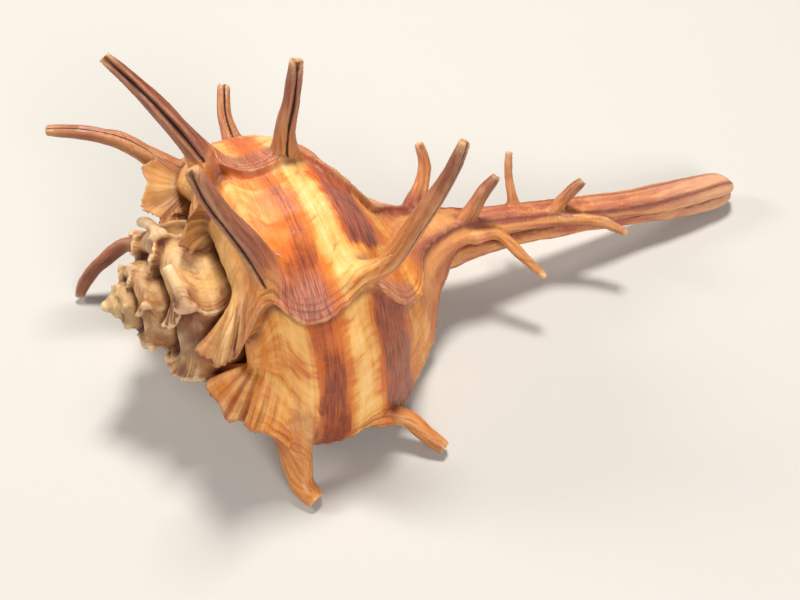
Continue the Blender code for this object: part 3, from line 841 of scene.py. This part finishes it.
def build_shell():
    horns = [*varix_horns(), *spire_horns(), *canal_horns()]
    whorls = gather([spire(), last_whorl(), aperture_rim(), *nucleus()])
    webs = [horn.web_surface() for horn in horns
            if OLDEST_OPEN < horn.where[0] < -0.5 and horn.where[1] < 4.0]
    verts, faces, _ = gather([whorls, *webs, *[horn.surface() for horn in horns]])
    shell = fuse(verts, faces)
    mesh = shell.data
    points = read(mesh.vertices, "co") / MM
    growth, station, inside = nearest_growth(points, *whorls).T
    on_horn = horn_fields(points, horns)
    root = ROOT_BLEND * soften_field(mesh, on_horn["root"], 3)[:, None]
    points += root * (soften_field(mesh, points, ROOT_ROUNDS) - points)
    write_points(mesh, points)
    height = relief(points, growth, station, inside, on_horn["horn"])
    points += read(mesh.vertex_normals, "vector") * height[:, None]
    write_points(mesh, points)
    mesh.shade_smooth()
    normals = read(mesh.vertex_normals, "vector")
    # The crease and valley measures carry the painted shade of hollows and the painted highlights of
    # edges, and mark the brown crests of the frills.
    crease, valley = (hollowness(mesh, points, normals, *reach) for reach in ((2, 4), (30, 3)))
    paint(mesh, growth, station, inside, on_horn, crease, valley)
    return shell


def bands(m, t):
    """The two colour bands of a whorl and the halo around them, by growth and station."""
    low, high = table(FIRST_BAND_LOW, m), table(FIRST_BAND_HIGH, m)
    first = window(t, low, high, 0.22) * table(FIRST_BAND_DEPTH, m)
    low_edge = SECOND_BAND[0] + 0.04 * wander(m * 9.0, 6)
    high_edge = SECOND_BAND[1] + 0.08 * wander(m * 5.0, 7)
    start = SECOND_BAND_START - SECOND_BAND_SLANT * (t - 5.5)
    there = np.where(m > -1.0, 1.0, fade_out(m, start, 0.07))
    second = window(t, low_edge, high_edge, 0.24) * table(SECOND_BAND_DEPTH, m) * there
    halo = np.maximum(window(t, low - 0.12, high + 0.12, 0.5), window(t, 5.40, 6.5, 0.45) * there)
    return first, second, halo


def paint(mesh, growth, station, inside, on_horn, crease, valley):
    """Writes the fields that the material reads."""
    m = growth
    t = station + 0.05 * wander(m * 7.0, 5)
    near_varix = np.abs(m - np.round(m))
    old = fade_out(m, -4.2, 1.4) * fade_out(t, 7.2, 0.4)
    cream = np.maximum(old, fade_out(t, 3.0, 0.8) * fade_out(m, -0.75, 0.3))
    canal = fade_in(t, BODY_END, 0.8)
    first, second, halo = bands(m, t)
    bright = window(t, 4.8, 5.5, 0.4) + 0.7 * window(t, 3.3, 4.0, 0.5) * (m > -1.0)
    mauve = 0.45 * np.exp(-(near_varix / 0.035) ** 2) * (1 - old) * fade_out(t, BODY_END, 0.6)
    for low, high, start, end, depth in DUSK_PATCHES:
        fade = fade_in(m, start, 0.55 * (end - start)) * ((m > start) & (m <= end))
        mauve = np.maximum(mauve, depth * window(t, low, high, 0.5) * fade)
    seam = np.exp(-(near_varix / 0.14) ** 2) * canal * np.where(np.abs(m + 1.0) < 0.5, 1.0, 0.4)

    # Values, and how often each is softened.
    fields = {
        "growth": (growth, 0), "cord": (arc_at(station), 0), "canal": (canal, 0), "old": (old, 0),
        "frill": (fade_out(t, SHOULDER, 0.6), 0), "crease": (crease, 0), "valley": (valley, 0),
        "band": (first * (1 - cream), 1), "dark_band": (second * (1 - cream), 1),
        "halo": (halo * (1 - cream), 1), "bright": (bright * (1 - canal) * (1 - cream), 2),
        "mauve": (mauve, 1), "seam": (seam, 2), "cream": (cream, 2), "inside": (inside, 1),
        "horn": (on_horn["horn"], 4), "horn_mauve": (on_horn["horn_mauve"], 4),
        "pale": (on_horn["pale"] * on_horn["horn"], 1),
        "tip": (fade_in(on_horn["reach"], 0.86, 0.12) * on_horn["horn"], 0),
        "around": (on_horn["around"], 0), "along": (on_horn["along"], 0),
        "slit": (on_horn["slit"], 0), "open": (on_horn["open"], 1),
    }
    for name, (values, times) in fields.items():
        field = mesh.attributes.new(name, "FLOAT", "POINT")
        values = soften_field(mesh, values, times)
        field.data.foreach_set("value", values.astype(np.float32))


# Tones of the shell, and of the painted shade and highlights laid on it, as screen values of 0 to
# 255.
PALETTE = {
    "gold": (208, 106, 28), "light gold": (236, 148, 52), "deep gold": (202, 92, 26),
    "gold hair": (190, 96, 36), "fleck": (252, 196, 112), "pale fleck": (255, 220, 160),
    "pause": (196, 88, 30),
    "rose": (178, 98, 62), "light rose": (224, 150, 94), "dull rose": (168, 90, 76),
    "light ribbon": (232, 164, 94), "dark ribbon": (140, 72, 58), "canal tip": (228, 178, 142),
    "tan": (146, 92, 52), "light tan": (230, 182, 116), "tan streak": (140, 80, 40),
    "tan thread": (172, 110, 70), "dark tan": (124, 72, 44), "rust": (156, 84, 34),
    "golden frill": (230, 168, 88), "first whorls": (244, 206, 146),
    "halo": (206, 96, 36), "brown": (112, 42, 20), "light brown": (168, 80, 38),
    "worn brown": (192, 104, 52), "dark brown": (122, 44, 22),
    "plum": (96, 44, 38), "light plum": (172, 98, 80), "dark plum": (84, 42, 44),
    "last plum": (104, 46, 28), "light last plum": (172, 92, 62),
    "mauve": (140, 78, 64), "light mauve": (204, 140, 118),
    "pleat": (132, 66, 32), "light pleat": (246, 204, 140), "growth line": (140, 64, 32),
    "rim": (176, 92, 50), "ledge": (138, 62, 34), "seam": (132, 66, 58),
    "sand": (190, 112, 50), "light sand": (224, 154, 84), "pale sand": (240, 190, 124),
    "dusk": (108, 54, 42), "light dusk": (158, 92, 72), "pale dusk": (178, 116, 94),
    "horn tip": (228, 184, 132), "inner": (232, 190, 160), "light inner": (246, 222, 200),
    # Painted shade for hollows and creases (valley, crease), and painted highlights for edges (edge,
    # and the tone after it, for old whorls).
    "valley": (98, 46, 22), "crease": (108, 44, 18), "edge": (246, 206, 150),
    "old edge highlight": (242, 218, 178), "crest": (158, 88, 42),
    # The slit and the tone before it are painted shade in the slits of the horns, and open tip is a
    # lighter painted shade where a tip opens.
    "slit rim": (222, 160, 112), "slit edge shade": (104, 48, 28), "slit": (30, 11, 8),
    "open tip": (150, 96, 52),
}


def colour(red, green, blue):
    """Linear colour from screen values of 0 to 255."""
    def linear(v):
        v /= 255.0
        return v / 12.92 if v <= 0.04045 else ((v + 0.055) / 1.055) ** 2.4
    return (linear(red), linear(green), linear(blue), 1.0)


class Graph:
    """Short names for the nodes of one material."""

    def __init__(self, name):
        self.material = bpy.data.materials.new(name)
        self.material.use_nodes = True
        self.tree = self.material.node_tree
        self.new = self.tree.nodes.new
        self.shader = self.tree.nodes["Principled BSDF"]

    def put(self, node, values):
        """Sets the inputs of a node by name or number. A value that is a socket is linked."""
        for key, value in values.items():
            if isinstance(value, bpy.types.NodeSocket):
                self.tree.links.new(value, node.inputs[key])
            elif value is not None:
                node.inputs[key].default_value = value
        return node.outputs

    def field(self, name):
        node = self.new("ShaderNodeAttribute")
        node.attribute_name = name
        return node.outputs["Fac"]

    def math(self, operation, a, b=None):
        node = self.new("ShaderNodeMath")
        node.operation = operation
        return self.put(node, {0: a, 1: b})[0]

    def times(self, a, b):
        return self.math("MULTIPLY", a, b)

    def plus(self, a, b):
        return self.math("ADD", a, b)

    def minus(self, a, b):
        return self.math("SUBTRACT", a, b)

    def span(self, value, low, high, to_low=0.0, to_high=1.0):
        """Maps low..high to to_low..to_high, smoothly and clamped."""
        node = self.new("ShaderNodeMapRange")
        node.interpolation_type = "SMOOTHSTEP"
        return self.put(node, {"Value": value, "From Min": low, "From Max": high,
                               "To Min": to_low, "To Max": to_high})["Result"]

    def mix(self, factor, a, b):
        """From a to b by the factor. Names stand for tones of the palette."""
        node = self.new("ShaderNodeMix")
        node.data_type = "RGBA"
        a, b = (colour(*PALETTE[v]) if isinstance(v, str) else v for v in (a, b))
        return self.put(node, {0: factor, 6: a, 7: b})[2]

    def layers(self, tone, rows, share=None):
        """A tone under others, each laid on where its value goes from low to high."""
        for value, low, high, depth, over in rows:
            factor = self.span(value, low, high, 0.0, depth)
            factor = factor if share is None else self.times(share, factor)
            tone = self.mix(factor, tone, over)
        return tone

    def vector(self, x, y, z):
        node = self.new("ShaderNodeCombineXYZ")
        return self.put(node, {0: x, 1: y, 2: z})[0]

    def noise(self, vector, scale, detail, rough=0.6):
        node = self.new("ShaderNodeTexNoise")
        return self.put(node, {"Vector": vector, "Scale": scale, "Detail": detail,
                               "Roughness": rough})["Fac"]

    def place(self):
        return self.new("ShaderNodeTexCoord").outputs["Object"]

    def bump(self, height, distance, strength, normal=None):
        node = self.new("ShaderNodeBump")
        return self.put(node, {"Height": height, "Distance": distance, "Strength": strength,
                               "Normal": normal})["Normal"]


class ShellGraph(Graph):
    """The graph of the shell, with the growth coordinates and noises that its colours share."""

    def __init__(self):
        super().__init__("murex_shell")
        self.growth, self.cord = self.field("growth"), self.field("cord")
        self.spot = self.place()
        # Threads run along the whorl, growth lines across it.
        self.threads = self.streaky(1.0, 1.2, 0.0, 1.6, 4.0)
        self.hairs = self.streaky(2.6, 4.5, 7.0, 1.6, 3.0)
        self.streaks = self.streaky(0.16, 9.0, 0.0, 1.0, 4.0)
        self.columns = self.streaky(0.42, 1.1, 3.0, 1.0, 3.0)
        self.rungs = self.streaky(0.10, 8.0, 5.0, 1.0, 3.0, 0.65)
        self.ribbons = self.streaky(0.07, 2.2, 11.0, 1.0, 4.0)
        self.pleats = self.streaky(1.1, 1.2, 9.0, 1.0, 3.0)
        self.clouds = self.noise(self.spot, 90.0, 4.0)
        self.broad = self.noise(self.spot, 38.0, 2.0, 0.5)
        self.drift = self.minus(self.threads, 0.5)
        self.worn = self.times(self.minus(self.rungs, 0.5), 1.5)
        # How far each place is on its way from one old lip to the next.
        self.way = self.math("FRACT", self.growth)

    def streaky(self, across, along, seed, scale, detail, rough=0.6):
        """Noise drawn out along or across the whorl."""
        across, along = self.times(self.cord, across), self.times(self.growth, along)
        return self.noise(self.vector(across, along, seed), scale, detail, rough)


def gold_ground(g):
    # Pale flecks lie in rows along the whorl, cut by rust lines where growth paused.
    flecks = g.plus(g.times(g.columns, 0.55), g.times(g.rungs, 0.65))
    flecks = g.plus(flecks, g.times(g.field("bright"), 0.16))
    flecks = g.minus(flecks, g.times(g.field("halo"), 0.10))
    gold = g.layers("gold", [
        (g.clouds, 0.35, 0.68, 1.0, "light gold"), (g.broad, 0.48, 0.72, 0.65, "deep gold"),
        (g.hairs, 0.45, 0.75, 0.35, "gold hair"), (flecks, 0.52, 0.78, 0.85, "fleck"),
        (flecks, 0.76, 0.94, 0.6, "pale fleck"),
    ])
    pauses = g.times(g.span(g.rungs, 0.30, 0.46, 0.55, 0.0), g.span(g.columns, 0.2, 0.5))
    return g.mix(pauses, gold, "pause")


def canal_ground(g):
    return g.layers("rose", [
        (g.clouds, 0.36, 0.66, 1.0, "light rose"), (g.broad, 0.44, 0.58, 0.65, "dull rose"),
        (g.ribbons, 0.44, 0.62, 0.7, "light ribbon"), (g.ribbons, 0.44, 0.30, 0.5, "dark ribbon"),
        (g.cord, 124.0, 152.0, 0.65, "canal tip"),
    ])


def spire_ground(g):
    tan = g.layers("tan", [
        (g.clouds, 0.34, 0.66, 1.0, "light tan"), (g.streaks, 0.46, 0.66, 0.65, "tan streak"),
        (g.threads, 0.50, 0.72, 0.5, "tan thread"), (g.broad, 0.50, 0.64, 0.5, "dark tan"),
    ])
    rust = g.times(g.span(g.way, 0.80, 0.98), g.span(g.hairs, 0.35, 0.65, 0.25, 0.9))
    rust = g.times(rust, g.minus(1.0, g.times(g.field("old"), 0.65)))
    golden = g.times(g.field("frill"), g.span(g.growth, -4.6, -4.0, 0.0, 0.28))
    tan = g.mix(golden, g.mix(rust, tan, "rust"), "golden frill")
    return g.layers(tan, [(g.growth, -13.0, -25.0, 0.65, "first whorls")])


def with_bands(g, base):
    """The two bands of a whorl, with ragged edges, and the mauve patches."""
    brown = g.layers("brown", [
        (g.hairs, 0.34, 0.64, 1.0, "light brown"), (g.clouds, 0.48, 0.7, 0.5, "worn brown"),
        (g.rungs, 0.44, 0.34, 0.6, "dark brown"),
    ])
    last_plum = g.layers("last plum", [(g.hairs, 0.36, 0.62, 1.0, "light last plum")])
    plum = g.layers("plum", [
        (g.hairs, 0.36, 0.62, 1.0, "light plum"), (g.growth, -1.55, -1.25, 0.6, "dark plum"),
        (g.growth, -1.0, -0.99, 1.0, last_plum),
    ])
    mauve = g.layers("mauve", [(g.hairs, 0.35, 0.65, 1.0, "light mauve")])
    halo = g.plus(g.field("halo"), g.times(g.drift, 1.4))
    band = g.plus(g.plus(g.field("band"), g.times(g.drift, 1.3)), g.worn)
    dark_band = g.plus(g.plus(g.field("dark_band"), g.times(g.drift, 1.2)), g.times(g.worn, 0.6))
    patch = g.plus(g.field("mauve"), g.times(g.drift, 0.7))
    return g.layers(base, [
        (halo, 0.2, 1.2, 0.8, "halo"), (band, 0.30, 0.95, 1.0, brown),
        (dark_band, 0.25, 0.90, 0.92, plum), (patch, 0.2, 0.9, 0.85, mauve),
    ])


def crowded_lines(g):
    """Growth lines crowd together before each old lip."""
    ripple = g.math("SINE", g.plus(g.times(g.growth, 150.0), g.times(g.clouds, 5.0)))
    crowd = g.times(g.span(g.way, 0.80, 0.99), g.span(ripple, 0.2, 0.95, 0.0, 0.6))
    return g.times(crowd, g.minus(1.0, g.times(g.field("frill"), 0.75)))


def with_lips(g, base, crowd):
    """The pleats of the frills, the rims of the old lips and the seam of the canal."""
    crimped = g.math("MAXIMUM", g.span(g.way, 0.40, 0.85), g.span(g.way, 0.08, 0.04))
    crimped = g.times(g.field("frill"), crimped)
    base = g.layers(base, [(g.pleats, 0.52, 0.38, 0.65, "pleat"),
                           (g.pleats, 0.52, 0.68, 0.6, "light pleat")], crimped)
    base = g.mix(crowd, base, "growth line")
    rim = g.times(g.span(g.way, 0.982, 0.995), g.minus(1.0, g.field("canal")))
    base = g.mix(g.times(rim, 0.6), base, "rim")
    ledge = g.times(g.span(g.way, 0.01, 0.07, 0.6, 0.0), g.minus(1.0, g.field("cream")))
    base = g.mix(ledge, base, "ledge")
    seam = g.times(g.field("seam"), g.span(g.clouds, 0.30, 0.60, 0.55, 0.9))
    return g.mix(seam, base, "seam")


def with_horns(g, base, tan):
    grain = g.noise(g.vector(g.field("around"), g.times(g.field("along"), 0.10), 0.0), 1.5, 4.0)
    sandy = g.layers("sand", [(grain, 0.34, 0.66, 1.0, "light sand"),
                              (g.clouds, 0.5, 0.72, 0.5, "pale sand")])
    dusk = g.layers("dusk", [(grain, 0.34, 0.66, 1.0, "light dusk"),
                             (g.clouds, 0.5, 0.72, 0.4, "pale dusk")])
    horn = g.layers(sandy, [(g.field("horn_mauve"), 0.1, 0.9, 1.0, dusk)])
    share = g.minus(0.92, g.times(g.field("cream"), 0.75))
    base = g.mix(g.times(g.field("horn"), share), base, horn)
    base = g.mix(g.times(g.field("tip"), 0.55), base, "horn tip")
    return g.mix(g.field("pale"), base, tan)


def with_inside(g, base):
    inner = g.layers("inner", [(g.clouds, 0.4, 0.7, 1.0, "light inner")])
    return g.mix(g.field("inside"), base, inner)


def with_painted_light_and_crests(g, base):
    """Painted shade in the hollows and creases, deepest over the spire, painted highlights on the
    edges, and the brown crests of the frills.
    """
    crease, old = g.field("crease"), g.field("old")
    # Painted shade: darker in the broad hollows, and darker still all over the spire.
    valley = g.plus(g.field("valley"), g.times(old, 0.20))
    base = g.layers(base, [(valley, 0.05, 0.75, 0.85, "valley")])
    # Painted highlight: paler on the edges of the spire.
    base = g.layers(base, [(crease, -0.015, -0.07, 0.5, "old edge highlight")], old)
    # Painted shade in the creases, and a painted highlight on the edges.
    base = g.layers(base, [(crease, 0.02, 0.12, 0.55, "crease"),
                           (crease, -0.03, -0.14, 0.3, "edge")])
    crest = g.times(g.span(g.growth, -4.6, -4.0), g.span(crease, -0.06, -0.14, 0.0, 0.6))
    return g.mix(g.times(g.field("frill"), crest), base, "crest")


def with_slits(g, base):
    """The slits of the horns, painted dark as shade in their depth and along their edges, lighter
    where a tip opens, and how far each place lies in one.
    """
    slit, opened = g.math("ABSOLUTE", g.field("slit")), g.field("open")
    base = g.mix(g.times(g.span(slit, 1.2, 1.9, 0.25, 0.0), opened), base, "slit rim")
    # Painted shade along the edges of the slit, then near black in its depth.
    base = g.mix(g.times(g.span(slit, 0.50, 1.20, 0.7, 0.0), opened), base, "slit edge shade")
    gap = g.times(g.span(slit, 0.15, 0.42, 0.97, 0.0), opened)
    return g.mix(gap, base, g.mix(g.times(g.field("tip"), 0.75), "slit", "open tip")), gap


def surface_normal(g, crowd, gap):
    fine = g.plus(g.times(g.threads, 0.5), g.times(g.hairs, 0.3))
    fine = g.plus(fine, g.times(g.streaks, 0.4))
    fine = g.plus(fine, g.times(crowd, -0.4))
    rough = g.times(g.noise(g.spot, 420.0, 3.0), g.field("canal"))
    fine = g.minus(g.plus(fine, g.times(rough, 0.7)), g.times(gap, 1.5))
    lines = g.bump(fine, 0.00045, 0.8)
    return g.bump(g.noise(g.spot, 900.0, 3.0), 0.00008, 0.6, lines)


def shell_material():
    g = ShellGraph()
    tan, crowd = spire_ground(g), crowded_lines(g)
    base = g.mix(g.field("canal"), gold_ground(g), canal_ground(g))
    base = with_bands(g, g.mix(g.field("cream"), base, tan))
    base = with_horns(g, with_lips(g, base, crowd), tan)
    # Painted shade and highlights over hollows and edges, then the slits with their painted shade.
    base, gap = with_slits(g, with_painted_light_and_crests(g, with_inside(g, base)))
    dull = g.math("MAXIMUM", g.span(g.clouds, 0.3, 0.7, 0.34, 0.52), gap)
    g.put(g.shader, {"Base Color": base, "Roughness": dull,
                     "Normal": surface_normal(g, crowd, gap)})
    return g.material


def floor():
    mesh = bpy.data.meshes.new("floor")
    height = cad_low.z - FLOOR_GAP
    corners = [(-1, -1), (1, -1), (1, 1), (-1, 1)]
    corners = [(x * FLOOR_REACH, y * FLOOR_REACH, height) for x, y in corners]
    mesh.from_pydata(corners, [], [(0, 1, 2, 3)])
    g = Graph("floor")
    g.put(g.shader, {"Base Color": FLOOR_COLOUR, "Roughness": 0.8})
    mesh.materials.append(g.material)
    plane = bpy.data.objects.new("floor", mesh)
    bpy.context.scene.collection.objects.link(plane)


def area_light(name, where, size, power, tint):
    data = bpy.data.lights.new(name, "AREA")
    data.shape = "DISK"
    data.size = size
    data.energy = power
    data.color = tint
    lamp = bpy.data.objects.new(name, data)
    lamp.location = where
    lamp.rotation_euler = (Vector(LIGHTS_AIM) - lamp.location).to_track_quat("-Z", "Y").to_euler()
    bpy.context.scene.collection.objects.link(lamp)


def studio():
    area_light("key", (0.12, 0.22, 0.74), 0.18, 6.6, (1.0, 0.95, 0.87))
    area_light("side", (-0.52, 0.34, 0.40), 0.20, 2.2, (1.0, 0.95, 0.88))
    area_light("front", (0.00, -0.72, 0.46), 0.35, 4.2, (1.0, 0.96, 0.90))
    world = bpy.data.worlds.new("studio")
    world.use_nodes = True
    background = world.node_tree.nodes["Background"]
    background.inputs["Color"].default_value = (0.90, 0.93, 1.0, 1.0)
    background.inputs["Strength"].default_value = 0.15
    bpy.context.scene.world = world


def camera():
    e, b, roll = (math.radians(v) for v in (CAMERA_ELEVATION, CAMERA_TURN, CAMERA_ROLL))
    forward = Vector((math.sin(b) * math.cos(e), math.cos(b) * math.cos(e), -math.sin(e)))
    right = Vector((math.cos(b), -math.sin(b), 0.0))
    up = right.cross(forward)
    right, up = (math.cos(roll) * right + math.sin(roll) * up,
                 math.cos(roll) * up - math.sin(roll) * right)
    data = bpy.data.cameras.new("camera")
    data.sensor_width = 36.0
    data.lens = LENS
    data.clip_start = 0.01
    view = bpy.data.objects.new("camera", data)
    matrix = Matrix((right, up, -forward)).transposed().to_4x4()
    matrix.translation = (Vector(AIM) - CAMERA_DISTANCE * forward) * MM
    view.matrix_world = matrix
    bpy.context.scene.collection.objects.link(view)
    bpy.context.scene.camera = view


shell = build_shell()
shell.data.materials.clear()
shell.data.materials.append(shell_material())
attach(shell, "root")
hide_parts("murex_shell")

floor()
studio()
camera()
bpy.context.scene.view_settings.view_transform = "Standard"
